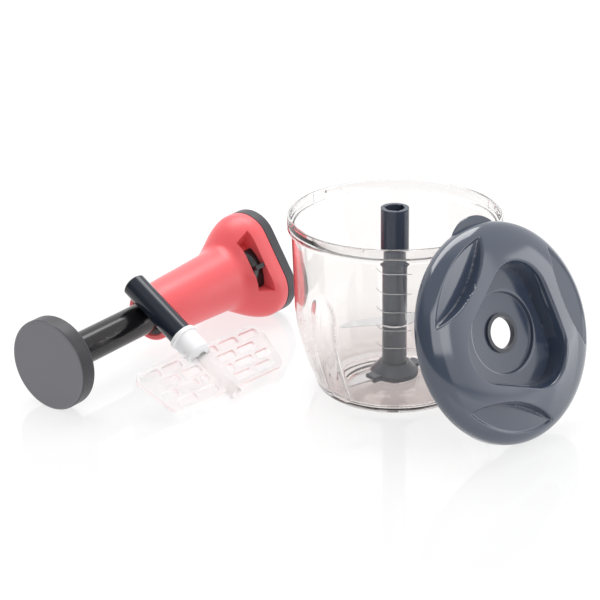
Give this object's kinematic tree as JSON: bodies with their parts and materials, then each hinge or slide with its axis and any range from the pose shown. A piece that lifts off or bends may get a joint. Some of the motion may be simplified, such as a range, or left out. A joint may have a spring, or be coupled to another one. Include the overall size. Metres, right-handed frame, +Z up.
{
  "type": "plunger food chopper",
  "caption": "Hand-pushed food chopper taken apart: clear bowl with bladed column, domed lid, plunger drive unit with lock switch, and a whisk paddle",
  "frame": {"origin": "centre of the bowl's flat underside, on the surface that all the pieces stand or lie on", "axes": "+Z up along the bowl's axis; +Y away from the picture's viewpoint; +X to its right, with the lid to the right and the push unit and whisk to the left"},
  "size_m": [0.3727, 0.2901, 0.1357],
  "materials": {
    "bowl_clear": "clear, slightly warm moulded plastic, polished",
    "column_plastic": "dark blue-grey moulded plastic, satin gloss",
    "lid_plastic": "blue-grey moulded plastic, satin gloss",
    "coral_plastic": "coral moulded plastic, soft sheen",
    "grey_plastic": "dark warm grey moulded plastic, matte",
    "shaft_plastic": "near-black moulded plastic, gloss",
    "white_plastic": "white moulded plastic",
    "steel": "bright ground steel",
    "paddle_clear": "clear moulded plastic, polished"
  },
  "bodies": {
    "bowl": {"bowl_shell": "bowl_clear", "bowl_pin": "steel"},
    "blade_unit": {"blade_column": "column_plastic", "blade_bush": "white_plastic", "blade_foot": "column_plastic", "blade_upper": "steel", "blade_lower": "steel"},
    "lid": {"lid_cover": "lid_plastic", "lid_ring": "lid_plastic", "lid_bush": "grey_plastic"},
    "casing": {"push_casing": "coral_plastic", "casing_base": "grey_plastic", "base_screws": "steel", "guide_ring": "shaft_plastic", "rod_bearing": "white_plastic", "base_bush": "white_plastic", "return_spring": "steel"},
    "lock": {"lock_switch": "shaft_plastic", "lock_collar": "white_plastic"},
    "plunger": {"knob_cap": "grey_plastic", "knob_body": "grey_plastic", "plunger_shaft": "shaft_plastic", "drive_nut": "white_plastic"},
    "rod": {"drive_rod": "steel", "clutch_driver": "white_plastic"},
    "coupler": {"output_coupler": "white_plastic"},
    "whisk": {"whisk_tube": "column_plastic", "whisk_hub": "white_plastic", "whisk_paddle": "paddle_clear"}
  },
  "joints": [
    {"name": "blade_spin", "type": "hinge", "parent": "bowl", "child": "blade_unit", "pos_m": [0, 0, 0.02], "axis": [0, 0, 1], "continuous": true},
    {"name": "lid_lift", "type": "slide", "parent": "bowl", "child": "lid", "axis": [0, 0, 1], "range_m": [0, 0.12]},
    {"name": "push_slide", "type": "slide", "parent": "bowl", "child": "casing", "axis": [-0.8028, 0.5962, 0], "range_m": [0, 0.15]},
    {"name": "plunger_slide", "type": "slide", "parent": "casing", "child": "plunger", "axis": [0.5962, 0.8028, 0.0077], "range_m": [0, 0.062], "stiffness_N_per_m": 300, "springref_m": -0.012, "deforming": ["return_spring"]},
    {"name": "rod_spin", "type": "hinge", "parent": "casing", "child": "rod", "pos_m": [-0.111, 0.12387, 0.0325], "axis": [0.5962, 0.8028, 0.0077], "range_deg": [0, 465]},
    {"name": "coupler_spin", "type": "hinge", "parent": "casing", "child": "coupler", "pos_m": [-0.1023, 0.13559, 0.03261], "axis": [0.5962, 0.8028, 0.0077], "continuous": true},
    {"name": "lock_turn", "type": "hinge", "parent": "casing", "child": "lock", "pos_m": [-0.11386, 0.12001, 0.03246], "axis": [-0.5962, -0.8028, -0.0077], "range_deg": [0, 12]},
    {"name": "whisk_lift", "type": "slide", "parent": "bowl", "child": "whisk", "axis": [0, 0, 1], "range_m": [0, 0.12]}
  ],
  "couplings": [
    {"joint": "rod_spin", "follows": "plunger_slide", "rad_per_m": 130.9}
  ]
}
